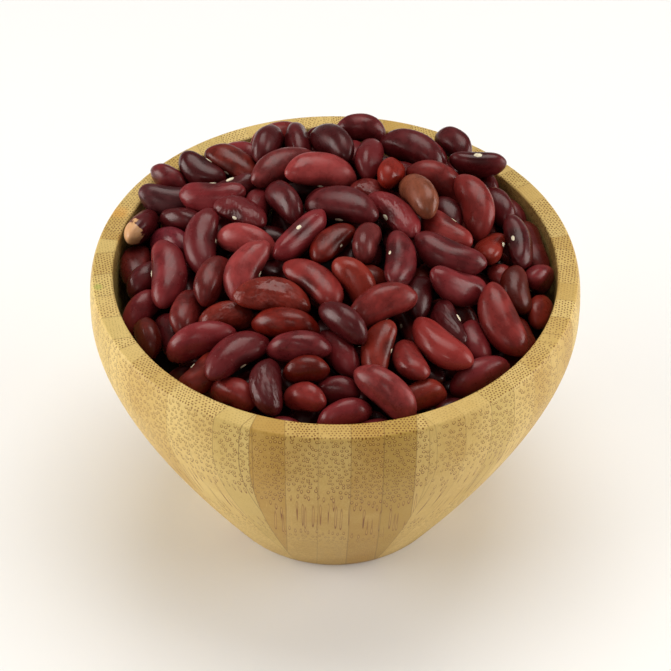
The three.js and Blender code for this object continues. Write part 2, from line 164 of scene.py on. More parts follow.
# One row for each bean that shows: kind, x, y, heading (degrees, its hollow side is to the right
# of it), length, hilum (degrees between the line of sight and the scar on the hollow side: under
# 90 the scar faces the eye, over 90 the back does), lift off the dome, and tilt where it doesn't
# follow the dome. These lie half under others.
LOWER_BEANS = [
    ("russet", 4.5, -13.5, 305, 14.5, 97, -1.5), ("russet", 7, -11, 15, 13, 110, -1.5),
    ("dark", 20.5, -14.5, 75, 13, 110, -1.5), ("maroon", 1, -30.5, 318, 14.5, 120, -1.5),
    ("russet", 20.5, -40, 20, 11.5, 110, -1.5), ("red", -49, 5, 100, 14.5, 97, -1.5),
    ("maroon", -47.5, -11, 40, 13, 110, -1.5), ("russet", -43.5, -20, 290, 12, 120, -1.5),
    ("russet", -26, -19.5, 5, 14, 120, -1.5), ("red", -35.5, -15.5, 55, 15, 105, -1.5),
    ("russet", -30.5, -34.5, 215, 12.5, 80, -1.5), ("red", -24, -39, 325, 12, 110, -1.5),
    ("red", -6, -43, 348, 11, 115, -1.5), ("dark", 0.5, -41, 8, 10.5, 115, -1.5),
    ("maroon", 1.5, -45.5, 8, 13.5, 115, -1.5), ("maroon", 33.5, -31, 40, 16.5, 130, -1.5),
    ("maroon", 34, -24, 105, 12, 110, -1.5), ("dark", 28, -21, 118, 14, 68, -1.5),
    ("red", 43, -1, 325, 12, 60, -1), ("russet", 44.5, -7.5, 100, 13, 110, 0.3),
    ("dark", 44, 6.5, 288, 15.5, 40, 0.5), ("red", 49, 12, 100, 17, 110, -1),
    ("maroon", 51, 1, 20, 13, 125, 0.5), ("russet", 40, 5, 76, 15, 58, 0),
    ("dark", 42, 24, 320, 13, 110, -1.5), ("maroon", 48, 27.5, 75, 13, 115, -1),
    ("maroon", -42.5, 30, 320, 11, 120, 0), ("maroon", -26.5, 39.5, 345, 16, 110, -2.5),
    ("maroon", -18, 38, 50, 14.5, 125, 0), ("dark", -10, 40.5, 288, 15.5, 150, -1),
    ("maroon", 5.5, 38, 72, 12, 110, -1.5), ("maroon", 6, 42, 355, 13, 110, -1),
    ("maroon", 22.5, 39.5, 335, 16, 125, -1), ("dark", 30, 40, 300, 13, 110, 0),
    ("dark", 39, 35.5, 60, 11, 110, -0.5, -20), ("red", -38, 33, 40, 11, 110, -1),
    ("dark", -32, 37, 30, 12, 115, -2), ("red", -15, 44.5, 22, 16, 115, -1.5),
    ("dark", 32, 38.5, 100, 12, 110, -1.5), ("maroon", -25, 22.5, 190, 12.5, 60, -1.5),
    ("dark", -2, 45.5, 185, 13, 65, -2), ("maroon", 10, -50, 10, 13, 110, -3),
    ("dark", 27, -43.5, 32, 12, 110, -3), ("maroon", -12, -49.5, 350, 12, 110, -3),
    ("dark", -46, -1.5, 20, 12, 110, -0.8), ("maroon", -40, -19, 290, 12, 115, -2),
    ("brown", -1, 32.5, 330, 11, 115, -3), ("red", 9, 18.5, 350, 12, 75, -1.5),
    ("maroon", 0, 17, 0, 13, 60, -2), ("maroon", -20.5, 17.5, 60, 12, 110, -1.5),
    ("maroon", -27.5, 11, 60, 12, 110, -1.5), ("russet", 48.5, -10, 60, 11, 110, -1),
    ("russet", 45.5, -17.5, 100, 12, 110, -1.5), ("maroon", 17, 29, 0, 13, 110, -1.5),
    ("dark", 28, 15, 280, 12, 110, -2),
]
# And these lie on top.
UPPER_BEANS = [
    ("peeled", -49, 16, 292, 17.5, 105, 0.5), ("maroon", -39, 16, 325, 13, 140, 0),
    ("purple", -42.5, 23, 195, 15.5, 92, 1.5, 0), ("dark", -35, 31, 160, 13.5, 92, 1, 0),
    ("russet", -26, 33, 340, 16, 50, 0), ("maroon", -30.5, 17.5, 157, 17, 85, 0),
    ("plum", -42.5, 9.5, 325, 16, 110, 0), ("maroon", -40, -5, 278, 19, 85, 0.5),
    ("dark", -32, 2.5, 80, 18, 75, 0.5), ("dark", -23, 10, 315, 14.5, 50, 0.5),
    ("bright", -22, 1, 318, 16, 120, 0.5), ("red", -30, -10, 62, 15, 120, 0.5),
    ("bright", -21.5, -8, 60, 17, 80, 0.5), ("maroon", -9, 1, 230, 18.5, 37, 0.5),
    ("orange", -1, -2, 48, 14, 48, 0.5), ("bright", 7.5, -2.5, 75, 12.5, 120, 0.5),
    ("maroon", 14, -8.5, 264, 17.5, 60, 0.5), ("red", -4.5, -14, 320, 18, 55, 0.5),
    ("russet", -14.5, -18, 357, 18.5, 72, 0.5), ("orange", -12, -26, 355, 16.5, 140, 0.5),
    ("maroon", 2, -27, 320, 14.5, 140, 0.5), ("red", 10.5, -20.5, 36, 18, 95, 0.5),
    ("maroon", -8, -32, 0, 15.5, 140, 0.5), ("russet", 10.5, -31.5, 75, 14.5, 68, 0.5),
    ("red", 17.5, -33.5, 112, 13.5, 110, 0.5), ("red", 25, -29.5, 142, 18, 125, 0.5),
    ("maroon", -32, -26, 12, 17.5, 130, 0.5), ("dark", -22, -32.5, 40, 17.5, 72, 0.5),
    ("maroon", -15, -41, 95, 14.5, 110, 0.5), ("orange", -6.5, -38, 3, 11, 130, 0.5),
    ("bright", 12, -42, 320, 18, 120, 0.5), ("red", 38, -18.5, 115, 19.5, 92, 0.5),
    ("maroon", 29.5, -11.5, 185, 17, 105, 0.5), ("red", 27, 7, 130, 16, 80, 0),
    ("maroon", 28, -0.5, 165, 18.5, 105, 0.5), ("dark", 2, 9.5, 357, 18.5, 66, 0.5),
    ("maroon", 15, 10, 318, 17, 45, 0.5), ("dark", -13, 13.5, 300, 15.5, 120, 0.5),
    ("bright", -12.5, 25, 30, 20, 100, 0.5), ("dark", -2, 34, 312, 17, 100, -0.5),
    ("bright", -4, 24.5, 355, 19, 75, 0.5), ("dark", 8.5, 30, 75, 15, 110, 0.5),
    ("dark", 19, 34.5, 325, 18, 95, 0.5), ("red", 25, 26.5, 328, 17, 110, -0.3),
    ("brown", 19.5, 14.5, 306, 16.5, 120, 1), ("orange", 14, 23.5, 60, 11.5, 110, -0.5),
    ("dark", 36, 34.5, 165, 14.5, 30, 1, 5), ("red", 33, 16.5, 288, 18.5, 115, 0.5, -20),
]
# Places of the beans whose skin has shrunk into wrinkles.
WRINKLED = {(-14.5, -18), (-15, -41), (-26, -19.5), (28, -21), (15, 10), (9, 18.5), (-23, 10)}

# Colours of the bean skins, as sRGB hex.
SKINS = {
    "russet": 0x6E2016,
    "dark": 0x521416,
    "maroon": 0x661D1F,
    "brown": 0x78402B,
    "red": 0x75231F,
    "peeled": 0x4E1416,
    "purple": 0x5B2729,
    "plum": 0x72222A,
    "bright": 0x7F2D2B,
    "orange": 0x74190D,
}
DEEP, PALE, SCARRED = 0.45, 1.4, 0.22   # shares of a skin's colour: darkest, palest, round the hilum
# Other colours, as sRGB hex.
OLIVE = 0xAE9447                # some strips of the bamboo lean to it
STREAK = 0x804A1C
HEART = 0xD6AE66                # inside the rings
GLUE = 0x6B4A22
BLUSH = 0xC08A62                # veins in the bare flesh
SCUFF = 0xB98A80                # rubbed spots on the skins
SPECK = 0xA68C66                # on the hila
# Painted shade: the bed's near-black red-browns stand for the beans deep in the heap, out of the light.
BED_SHADE_DARK, BED_SHADE_RED = 0x0C0405, 0x1C090A
# Colour of what each finish mirrors.
BAMBOO_SHINE, SKIN_SHINE = (1, 0.87, 0.7, 1), (1, 0.85, 0.8, 1)

# Camera, floor and light, in metres and degrees.
CAMERA_DISTANCE = 0.55
CAMERA_ELEVATION = 43.473
CAMERA_ROLL = 0.493
CAMERA_LENS = 116.6
CAMERA_AIM = Vector((0.00017, 0, 0.0529))
FLOOR_RADIUS, FLOOR_SIDES = 4, 64
# For each softbox: place, size, watts.
SOFTBOXES = {
    "overhead_light": ((0.05, 0.2, 0.85), 0.6, 4.7),
    "left_light": ((-0.8, -0.1, 0.22), 0.6, 7.0),
    "right_light": ((0.8, -0.05, 0.25), 0.6, 5.8),
    "front_light": ((-0.25, -0.75, 0.65), 0.2, 0.4),
}


# ---- Helpers ----


def linear(colour):
    """The linear colour that Blender calculates with, from an sRGB hex value."""
    parts = [(colour >> shift & 255) / 255 for shift in (16, 8, 0)]
    return [part / 12.92 if part <= 0.04045 else ((part + 0.055) / 1.055) ** 2.4 for part in parts]


def make_draw(seed):
    """A simple generator: the same seed always draws the same numbers."""
    factor, step, span = 1664525, 1013904223, 2**32
    state = seed

    def draw(low, high):
        nonlocal state
        state = (state * factor + step) % span
        return low + (high - low) * state / span

    return draw


def make_object(name, shape, smooth=True):
    """Turns a bmesh into an object of that name at the origin."""
    mesh = bpy.data.meshes.new(name)
    shape.to_mesh(mesh)
    shape.free()
    for polygon in mesh.polygons:
        polygon.use_smooth = smooth
    piece = bpy.data.objects.new(name, mesh)
    bpy.context.collection.objects.link(piece)
    return piece


def subdivide(piece, levels):
    """A live subdivision surface, the same in view and render."""
    modifier = piece.modifiers.new("smooth", "SUBSURF")
    modifier.levels = levels
    modifier.render_levels = levels


def settle_on_frame(piece, node):
    """The piece stands for that node: it hangs from the body, and the node is hidden."""
    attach(piece, BODY)
    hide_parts(node)


def arc(centre, radii, start, end, count):
    """Points on an ellipse, angles in degrees."""
    angles = np.radians(np.linspace(start, end, count))
    return [(centre[0] + radii[0] * math.cos(a), centre[1] + radii[1] * math.sin(a)) for a in angles]


def bezier(ends, count):
    """Points on a cubic curve through four control points."""
    a, b, c, d = np.array(ends, float)
    return [tuple(a * (1 - t) ** 3 + 3 * b * t * (1 - t) ** 2 + 3 * c * t * t * (1 - t) + d * t**3)
            for t in np.linspace(0, 1, count)]


def spin_profile(profile, steps, start=0.0):
    """A closed shape: points of radius and height in millimetres, turned about the Z axis."""
    shape = bmesh.new()
    turn = Matrix.Rotation(start, 3, "Z")
    verts = [shape.verts.new(turn @ Vector((radius * MM, 0, height * MM))) for radius, height in profile]
    edges = [shape.edges.new(pair) for pair in zip(verts, verts[1:])]
    bmesh.ops.spin(
        shape, geom=verts + edges, cent=(0, 0, 0), axis=(0, 0, 1), angle=math.tau, steps=steps,
        use_merge=True,
    )
    bmesh.ops.remove_doubles(shape, verts=shape.verts[:], dist=MM * WELD)
    bmesh.ops.recalc_face_normals(shape, faces=shape.faces[:])
    return shape


class Nodes:
    """Builds a material's nodes: add() makes one node with its settings and links."""

    def __init__(self, name):
        self.material = bpy.data.materials.new(name)
        self.material.use_nodes = True
        self.tree = self.material.node_tree
        self.tree.nodes.clear()

    def add(self, kind, settings=None, **inputs):
        node = self.tree.nodes.new("ShaderNode" + kind)
        for key, value in (settings or {}).items():
            setattr(node, key, value)
        for key, value in inputs.items():
            socket = node.inputs[int(key[1:])] if key[1:].isdigit() else node.inputs[key.replace("_", " ")]
            if isinstance(value, bpy.types.NodeSocket):
                self.tree.links.new(value, socket)
            else:
                socket.default_value = value
        return node

    def math(self, operation, *values):
        inputs = {"i%d" % i: value for i, value in enumerate(values)}
        return self.add("Math", {"operation": operation}, **inputs).outputs[0]

    def smooth(self, value, low, high, to_low=0.0, to_high=1.0):
        """The value as it goes from low to high, eased into to_low and to_high."""
        return self.add(
            "MapRange", {"interpolation_type": "SMOOTHSTEP"},
            Value=value, From_Min=low, From_Max=high, To_Min=to_low, To_Max=to_high,
        ).outputs[0]

    def mix(self, share, one, other):
        """Two colours mixed by share."""
        return self.add("Mix", {"data_type": "RGBA"}, i0=share, i6=one, i7=other).outputs[2]

    def split(self, vector):
        return self.add("SeparateXYZ", Vector=vector).outputs

    def join(self, x, y, z=0.0):
        return self.add("CombineXYZ", X=x, Y=y, Z=z).outputs[0]

    def noise(self, vector, scale, detail=2.0, roughness=0.5):
        return self.add(
            "TexNoise", Vector=vector, Scale=scale, Detail=detail, Roughness=roughness,
        ).outputs[0]

    def finish(self, **inputs):
        shader = self.add("BsdfPrincipled", **inputs)
        self.add("OutputMaterial", Surface=shader.outputs[0])
        return self.material


def rgba(colour):
    return (*colour[:3], 1.0)


# ---- Settings ----


def size_setting(name, description, value):
    return FloatProperty(name=name, description=description, default=value, min=0, unit="LENGTH")


def colour_setting(name, description, colour):
    return FloatVectorProperty(
        name=name, description=description, default=linear(colour), size=3, min=0, max=1, subtype="COLOR",
    )


class BowlSettings(bpy.types.PropertyGroup):
    height: size_setting("Height", "From the foot to the rim", BOWL_HIGH.z)
    foot_radius: size_setting("Foot radius", "Radius of the flat foot", 0.0313)
    belly_radius: size_setting("Belly radius", "Radius at the widest ring", BOWL_HIGH.x)
    rim_outer_radius: size_setting("Rim outer radius", "Radius of the rim's outer edge", 0.059)
    rim_inner_radius: size_setting("Rim inner radius", "Radius of the rim's inner edge", 0.0545)
    floor_thickness: size_setting("Floor thickness", "Thickness under the hollow", 0.008)
    straw: colour_setting("Straw", "Palest strips of the bamboo", 0xDFC37C)
    tan: colour_setting("Tan", "Darkest strips of the bamboo", 0xB0873A)
    vessel: colour_setting("Vessel", "Rings of the cut fibre bundles", 0x6C3A04)


class BeanSettings(bpy.types.PropertyGroup):
    seed: IntProperty(name="Seed", description="Draws the beans' unevenness", default=5)
    unevenness: size_setting("Unevenness", "How far a bean's skin strays from its form", 0.00022)
    hilum: colour_setting("Hilum", "The pale scar where the bean was attached", 0xE9DFC0)
    flesh: colour_setting("Flesh", "The bean under its skin", 0xCE9E6E)


class StageSettings(bpy.types.PropertyGroup):
    floor: colour_setting("Floor", "The plain floor", 0xF2F0EC)
    glow: FloatProperty(name="Glow", description="Strength of the light all round", default=0.21, min=0)
    light: FloatProperty(name="Light", description="Strength of the softboxes", default=1.0, min=0)


# ---- Bowl ----


def hollow_profile(sizes):
    """From the rim's inner edge down to the middle of the floor."""
    inner, top, floor = sizes.rim_inner_radius / MM, sizes.height / MM, sizes.floor_thickness / MM
    return bezier(
        [(inner, top - RIM_EDGE), (inner + HOLLOW_SWELL, top / 2), (inner * HOLLOW_FLAT, floor), (0, floor)],
        HOLLOW_POINTS,
    )


def bowl_profile(sizes):
    """From the middle of the foot up the outside, over the rim and down the inside."""
    foot, belly = sizes.foot_radius / MM, sizes.belly_radius / MM
    outer, inner, top = sizes.rim_outer_radius / MM, sizes.rim_inner_radius / MM, sizes.height / MM
    lean = math.radians(WALL_LEAN)
    round_middle = (foot - FOOT_EDGE * math.cos(lean), FOOT_EDGE)
    edge = arc(round_middle, (FOOT_EDGE, FOOT_EDGE), -90, -WALL_LEAN, EDGE_POINTS)
    start_x, start_y = edge[-1]
    widest = top - BELLY_DROP
    handle = WALL_REACH * (widest - start_y)
    wall = bezier(
        [(start_x, start_y), (start_x + handle * math.sin(lean), start_y + handle * math.cos(lean)),
         (belly, widest - BELLY_STRETCH), (belly, widest)],
        WALL_POINTS,
    )
    shoulder = arc((outer, widest), (belly - outer, BELLY_DROP), 0, 90, SHOULDER_POINTS)
    inner_edge = arc((inner + RIM_EDGE, top - RIM_EDGE), (RIM_EDGE, RIM_EDGE), 90, 180, EDGE_POINTS)
    return [
        (0, 0), (edge[0][0] / 2, 0), (edge[0][0] - SHARP, 0), *edge, *wall[1:], *shoulder[1:],
        (outer - SHARP, top), (inner + RIM_EDGE + SHARP, top), *inner_edge,
        *hollow_profile(sizes)[1:],
    ]


def map_grain(mesh):
    """Two UV maps. In "grain" a point has its distance beside and along the middle of its block, in
    millimetres. In "strips" it has the number of strips beside the joint nearest the middle, and the
    number of its block. Each face also has how tan its block is."""
    grain = mesh.uv_layers.new(name="grain")
    strips = mesh.uv_layers.new(name="strips")
    tanned = mesh.attributes.new("tanned", "FLOAT", "FACE")
    for polygon in mesh.polygons:
        middle = math.degrees(math.atan2(polygon.center.x, -polygon.center.y))
        block = round((middle - FIRST_BLOCK) / BLOCK_TURN) % BLOCKS
        turn = math.radians(FIRST_BLOCK + block * BLOCK_TURN)
        joint, width, tanned.data[polygon.index].value = STRIPS[block]
        for loop in polygon.loop_indices:
            x, y, _ = mesh.vertices[mesh.loops[loop].vertex_index].co / MM
            beside = x * math.cos(turn) + y * math.sin(turn)
            grain.data[loop].uv = (beside, x * math.sin(turn) - y * math.cos(turn))
            strips.data[loop].uv = ((beside - joint) / width, block)


def bundle_cells(nodes, beside, along, spacing, seed, jitter, squeeze=1.0):
    """Fibre bundles in close rows on a plane of millimetres, shaken by jitter. Gives how far a point
    lies from the middle of the nearest bundle, in spacings and narrower beside it by squeeze, how far
    along that is, and a number of the bundle's own."""
    x = nodes.math("MULTIPLY_ADD", beside, 1 / spacing, seed)
    y = nodes.math("DIVIDE", along, spacing)
    rows = nodes.math("MULTIPLY", y, 2 * HEX_SLANT)
    slant = nodes.join(nodes.math("MULTIPLY_ADD", y, -HEX_SLANT, x), rows)
    cells = nodes.add("TexVoronoi", {"voronoi_dimensions": "2D"}, Vector=slant, Scale=1.0, Randomness=jitter)
    apart = nodes.add("VectorMath", {"operation": "SUBTRACT"}, i0=slant, i1=cells.outputs["Position"])
    slant_x, slant_y, _ = nodes.split(apart.outputs[0])
    apart_x = nodes.math("MULTIPLY", nodes.math("MULTIPLY_ADD", slant_y, 0.5, slant_x), squeeze)
    apart_y = nodes.math("DIVIDE", slant_y, 2 * HEX_SLANT)
    length = nodes.add("VectorMath", {"operation": "LENGTH"}, i0=nodes.join(apart_x, apart_y))
    return length.outputs["Value"], apart_y, nodes.split(cells.outputs["Color"])[0]


def bamboo_material(sizes):
    """Laminated bamboo, turned and given a satin lacquer: straw and tan strips with thin glue lines,
    where the cut fibre bundles show as small brown rings that draw out into streaks along the grain."""
    nodes = Nodes("lacquered_bamboo")
    grain = nodes.add("UVMap", {"uv_map": "grain"}).outputs[0]
    strips = nodes.add("UVMap", {"uv_map": "strips"}).outputs[0]
    beside, radius, _ = nodes.split(grain)
    lane, block, _ = nodes.split(strips)
    metres = nodes.add("TexCoord").outputs["Object"]
    depth = nodes.math("MULTIPLY_ADD", nodes.split(metres)[2], 1 / MM, -sizes.height / MM)

    # Each strip has its own tone, and its bundles crowd towards one side.
    strip = nodes.math("MAXIMUM", nodes.math("MINIMUM", nodes.math("FLOOR", lane), LAST_STRIP), FIRST_STRIP)
    inner = nodes.math("SUBTRACT", lane, strip)
    own = nodes.add("TexWhiteNoise", {"noise_dimensions": "2D"}, Vector=nodes.join(strip, block))
    tone, hue, crowd = nodes.split(own.outputs["Color"])
    side = nodes.smooth(nodes.math("MULTIPLY_ADD", crowd, 0.6, inner), 0.1, 1.0)
    keep = nodes.math("MULTIPLY_ADD", side, 0.4, 0.66)
    seed = nodes.math("MULTIPLY", tone, 40)

    # The bundles stray a little from straight rows, and each strip's streaks begin at a height of
    # their own.
    fallen = nodes.math("MULTIPLY_ADD", nodes.math("SUBTRACT", tone, 0.5), STREAK_STRAY, depth)
    down = nodes.math("ADD", depth, nodes.smooth(fallen, STREAK_END, STREAK_TOP, STREAK_LOSS, 0))
    wander = nodes.add("TexNoise", Vector=nodes.join(beside, down, block), Scale=0.16, Detail=1.0)
    stray_beside, stray_down, _ = nodes.split(wander.outputs["Color"])
    stray_beside = nodes.math("MULTIPLY_ADD", nodes.math("SUBTRACT", stray_beside, 0.5), STRAY_BESIDE, beside)
    stray_down = nodes.math("MULTIPLY_ADD", nodes.math("SUBTRACT", stray_down, 0.5), STRAY_DOWN, down)

    # On the wall a bundle shows as a ring round a paler middle, fainter at its top, and narrower
    # where it is cut lengthwise. On the flat rim it shows as a small dark dot.
    streaky = nodes.math("MULTIPLY", nodes.smooth(fallen, STREAK_END, STREAK_END + 14),
                         nodes.smooth(fallen, STREAK_TOP - 14, STREAK_TOP - 5, 1, 0))
    squeeze = nodes.math("MULTIPLY_ADD", streaky, 0.5, 1.0)
    distance, above, number = bundle_cells(
        nodes, stray_beside, stray_down, BUNDLE_SPACING, seed, BUNDLE_JITTER, squeeze)
    heart = nodes.smooth(distance, *HEART_EDGE, 1, 0)
    ring = nodes.math("SUBTRACT", nodes.smooth(distance, *RING_EDGE, 1, 0), heart)
    ring = nodes.math("MULTIPLY", ring, nodes.smooth(above, -0.1, 0.2, 1, 0.6))
    ring = nodes.math("MULTIPLY", ring, nodes.math("LESS_THAN", number, keep))
    dot_distance, _, dot_number = bundle_cells(nodes, stray_beside, radius, DOT_SPACING, seed, DOT_JITTER)
    dot = nodes.math("MULTIPLY", nodes.smooth(dot_distance, *DOT_EDGE, 1, 0),
                     nodes.math("LESS_THAN", dot_number, keep))
    dot = nodes.math("MULTIPLY", dot, nodes.smooth(crowd, 0.3, 0.6, 0.25, 1))
    flat = nodes.smooth(depth, *RIM_FADE)
    ring = nodes.mix(flat, ring, dot)
    heart = nodes.math("MULTIPLY", heart, nodes.math("SUBTRACT", 1.0, flat))

    fibres = nodes.noise(nodes.join(stray_beside, nodes.math("MULTIPLY", down, 0.12), radius), 3.0, 4.0, 0.65)
    clouds = nodes.noise(nodes.join(beside, radius, depth), 0.09, 2.0)
    shade = nodes.math("MULTIPLY_ADD", tone, 0.6, 0.2)
    shade = nodes.math("MULTIPLY_ADD", nodes.math("SUBTRACT", fibres, 0.5), 0.8, shade)
    shade = nodes.math("MULTIPLY_ADD", nodes.math("SUBTRACT", clouds, 0.5), 0.8, shade)
    tanned = nodes.add("Attribute", {"attribute_name": "tanned"}).outputs["Fac"]
    shade = nodes.math("MULTIPLY_ADD", nodes.math("SUBTRACT", tanned, 0.5), 1.5, shade)
    colour = nodes.mix(nodes.smooth(shade, -0.35, 1.35), rgba(sizes.straw), rgba(sizes.tan))
    olive = nodes.math("MULTIPLY", nodes.math("GREATER_THAN", hue, 0.72), 0.25)
    colour = nodes.mix(olive, colour, rgba(linear(OLIVE)))
    low = nodes.smooth(depth, STREAK_END, STREAK_END + 12, 0.4, 1)
    strength = nodes.math("MULTIPLY", nodes.math("MULTIPLY_ADD", side, 0.25, 0.75), low)
    vessel = nodes.mix(streaky, rgba(sizes.vessel), rgba(linear(STREAK)))
    colour = nodes.mix(nodes.math("MULTIPLY", ring, strength), colour, vessel)
    colour = nodes.mix(nodes.math("MULTIPLY", heart, 0.25), colour, rgba(linear(HEART)))

    # Glue lines between strips, and between blocks.
    nearest = nodes.math("ABSOLUTE", nodes.math("SUBTRACT", lane, nodes.math("ROUND", lane)))
    edge = nodes.math("MULTIPLY", nearest, STRIP_WIDTH)
    slope = math.tan(math.radians(BLOCK_TURN / 2))
    block_edge = nodes.math("SUBTRACT", nodes.math("MULTIPLY", radius, slope), nodes.math("ABSOLUTE", beside))
    gap = nodes.math("MINIMUM", edge, block_edge)
    faint = nodes.math("MULTIPLY_ADD", hue, 0.5, 0.1)
    line = nodes.math("MULTIPLY", nodes.smooth(gap, *GLUE_EDGE, 1, 0), faint)
    colour = nodes.mix(line, colour, rgba(linear(GLUE)))

    for (x, y), size, tint, share in STAINS:
        place = (x * MM, y * MM, sizes.height)
        spot = nodes.add("VectorMath", {"operation": "DISTANCE"}, i0=metres, i1=place)
        blurred = nodes.smooth(spot.outputs["Value"], 0.3 * size * MM, size * MM, share, 0)
        colour = nodes.mix(blurred, colour, rgba(linear(tint)))

    sunk = nodes.math("MULTIPLY_ADD", ring, -1.0, nodes.math("MULTIPLY", fibres, 0.35))
    bump = nodes.add("Bump", Strength=0.35, Distance=0.08 * MM, Height=sunk).outputs[0]
    return nodes.finish(
        Base_Color=colour, Roughness=0.5, IOR=1.4, Specular_Tint=BAMBOO_SHINE, Normal=bump,
    )


class BEANS_OT_make_bowl(bpy.types.Operator):
    """Turn the bamboo bowl"""

    bl_idname = "beans.make_bowl"
    bl_label = "Bowl"
    bl_options = {"REGISTER", "UNDO"}

    def execute(self, context):
        sizes = context.scene.bean_bowl
        front = math.radians(FIRST_BLOCK + BLOCK_TURN / 2 - 90)
        bowl = make_object("bamboo_bowl", spin_profile(bowl_profile(sizes), RING_STEPS, front))
        map_grain(bowl.data)
        bowl.data.materials.append(bamboo_material(sizes))
        settle_on_frame(bowl, "bowl")
        return {"FINISHED"}


# ---- Heap: where each bean lies ----


def dome_height(x, y):
    """Height of the dome above the rim."""
    return DOME_TOP - DOME_FALL_X * x * x - DOME_FALL_Y * (y - DOME_TOP_Y) ** 2


def bean_width(length):
    return WIDTH_LEAST + WIDTH_PER_LENGTH * length


def hollow_side(right, above, hilum):
    """The way a bean's hollow side faces, square to the bean, so that it is seen at the given angle
    or as near to it as the bean can be rolled."""
    height = math.radians(SIGHT_HEIGHT)
    sight = np.array([0, -math.cos(height), math.sin(height)])
    sideways, upwards = right @ sight, above @ sight
    share = math.cos(math.radians(hilum)) / math.hypot(sideways, upwards)
    roll = math.atan2(upwards, sideways) - math.acos(min(1, max(-1, share)))
    return math.cos(roll) * right + math.sin(roll) * above


def make_bean(kind, x, y, heading, length, hilum, lift, tilt=None, hold=TOP_HOLD):
    """A bean at its first place. Heights are counted from the rim."""
    turn = math.radians(heading)
    fall = -2 * DOME_FALL_X * x * math.cos(turn) - 2 * DOME_FALL_Y * (y - DOME_TOP_Y) * math.sin(turn)
    slope = math.atan(fall) if tilt is None else math.radians(tilt)
    forward = np.array([math.cos(turn), math.sin(turn), 0])
    right = np.array([math.sin(turn), -math.cos(turn), 0])
    up = np.array([0, 0, 1])
    along = math.cos(slope) * forward + math.sin(slope) * up
    above = math.cos(slope) * up - math.sin(slope) * forward
    across = hollow_side(right, above, hilum)
    centre = np.array([x, y, dome_height(x, y) + lift])
    return {"kind": kind, "centre": centre, "along": along, "across": across, "length": length,
            "hold": hold, "wrinkled": (x, y) in WRINKLED}


def make_fillers():
    draw = make_draw(FILLER_SEED)
    fillers = []
    for i in range(FILLER_COUNT):
        radius = FILLER_SPREAD * math.sqrt((i + 0.5) / FILLER_COUNT)
        angle = GOLDEN_ANGLE * i
        heading = draw(0, 360)
        if radius > FILLER_RING:
            heading = angle + 90 + draw(-FILLER_STRAY, FILLER_STRAY)
        length = draw(*FILLER_LENGTH)
        hilum = draw(*FILLER_HILUM)
        x, y = radius * math.cos(math.radians(angle)), radius * math.sin(math.radians(angle))
        kind = DEEP_KINDS[i % len(DEEP_KINDS)]
        fillers.append(make_bean(kind, x, y, heading, length, hilum, -FILLER_DROP, hold=FILLER_HOLD))
    return fillers


def push_apart(centre, ball, radius):
    """How far each ball is pushed out of the balls of other beans, and whether it touches one."""
    push = np.zeros_like(ball)
    touched = np.zeros(radius.shape, bool)
    near = ((centre[:, None] - centre[None]) ** 2).sum(-1) < REACH**2
    i, j = np.nonzero(near & ~np.eye(len(centre), dtype=bool))
    apart = ball[i][:, :, None] - ball[j][:, None]
    distance = np.sqrt((apart**2).sum(-1)) + TINY
    overlap = np.maximum(0, radius[i][:, :, None] + radius[j][:, None] - distance)
    np.add.at(push, i, (apart * (overlap / 2 / distance)[..., None]).sum(2))
    np.logical_or.at(touched, i, (overlap > 0).any(2))
    return push, touched


def push_off_bowl(ball, radius, push, rim):
    """The bowl is an upright wall below the rim, and a flat top outside its inner edge."""
    out, height = np.hypot(ball[..., 0], ball[..., 1]), ball[..., 2]
    room = radius + CLEARANCE
    radial = ball[..., :2] / np.maximum(out, TINY)[..., None]
    past = out - rim
    to_edge = np.maximum(np.hypot(past, height), TINY)
    wall = (height < 0) & (past + room > 0)
    push[..., :2] -= radial * np.where(wall, past + room, 0)[..., None]
    edge = (height >= 0) & (past < 0) & (to_edge < room)
    share = np.where(edge, (room - to_edge) / to_edge, 0)
    push[..., :2] += radial * (past * share)[..., None]
    push[..., 2] += height * share
    top = (height > -RIM_SKIRT) & (past >= 0) & (height < room)
    push[..., 2] += np.where(top, room - height, 0)
    return wall | edge | top


def settle(beans, rim):
    """Lets the beans push each other, and the bowl them, until they lie side by side."""
    centre, along, across = (np.array([bean[key] for bean in beans]) for key in ("centre", "along", "across"))
    length = np.array([bean["length"] for bean in beans])[:, None]
    hold = np.array([bean["hold"] for bean in beans])[:, None]
    home, home_along, home_across = centre.copy(), along.copy(), across.copy()
    width = bean_width(length)
    thickness = THICKNESS_PER_WIDTH * width
    place, girth, spread = np.repeat(np.array(SHAFT, float), 2, axis=0).T
    row = np.array([-1, 1] * len(SHAFT))
    shift_along = place * length / 2
    shift_across = BOW_PER_LENGTH * length * (place**2 - BOW_REST) + row * spread * (width - thickness) / 2
    radius = girth * thickness / 2 - NESTLE
    for step in range(ROUNDS):
        arm = shift_along[..., None] * along[:, None] + shift_across[..., None] * across[:, None]
        ball = centre[:, None] + arm
        push, touched = push_apart(centre, ball, radius)
        touched |= push_off_bowl(ball, radius, push, rim)
        hits = np.maximum(LEAST_TOUCHES, touched.sum(1))[:, None]
        fade = min(1, (ROUNDS - step) / (ROUNDS * EASE))
        turn = TURN_RATE * np.cross(arm, push).sum(1) / (arm**2).sum((1, 2))[:, None]
        turn += fade * hold * (np.cross(along, home_along) + np.cross(across, home_across))
        centre = centre + SHIFT_RATE * push.sum(1) / hits + fade * hold * (home - centre)
        along = along + np.cross(turn, along)
        across = across + np.cross(turn, across)
        along /= np.linalg.norm(along, axis=1)[:, None]
        across -= (along * across).sum(1)[:, None] * along
        across /= np.linalg.norm(across, axis=1)[:, None]
    for i, bean in enumerate(beans):
        bean["centre"], bean["along"], bean["across"] = centre[i], along[i], across[i]
    return beans


def lay_beans(context):
    """All beans where they have come to rest."""
    shown = [make_bean(*row) for row in LOWER_BEANS + UPPER_BEANS]
    return settle(make_fillers() + shown, context.scene.bean_bowl.rim_inner_radius / MM)


# ---- Heap: shapes ----


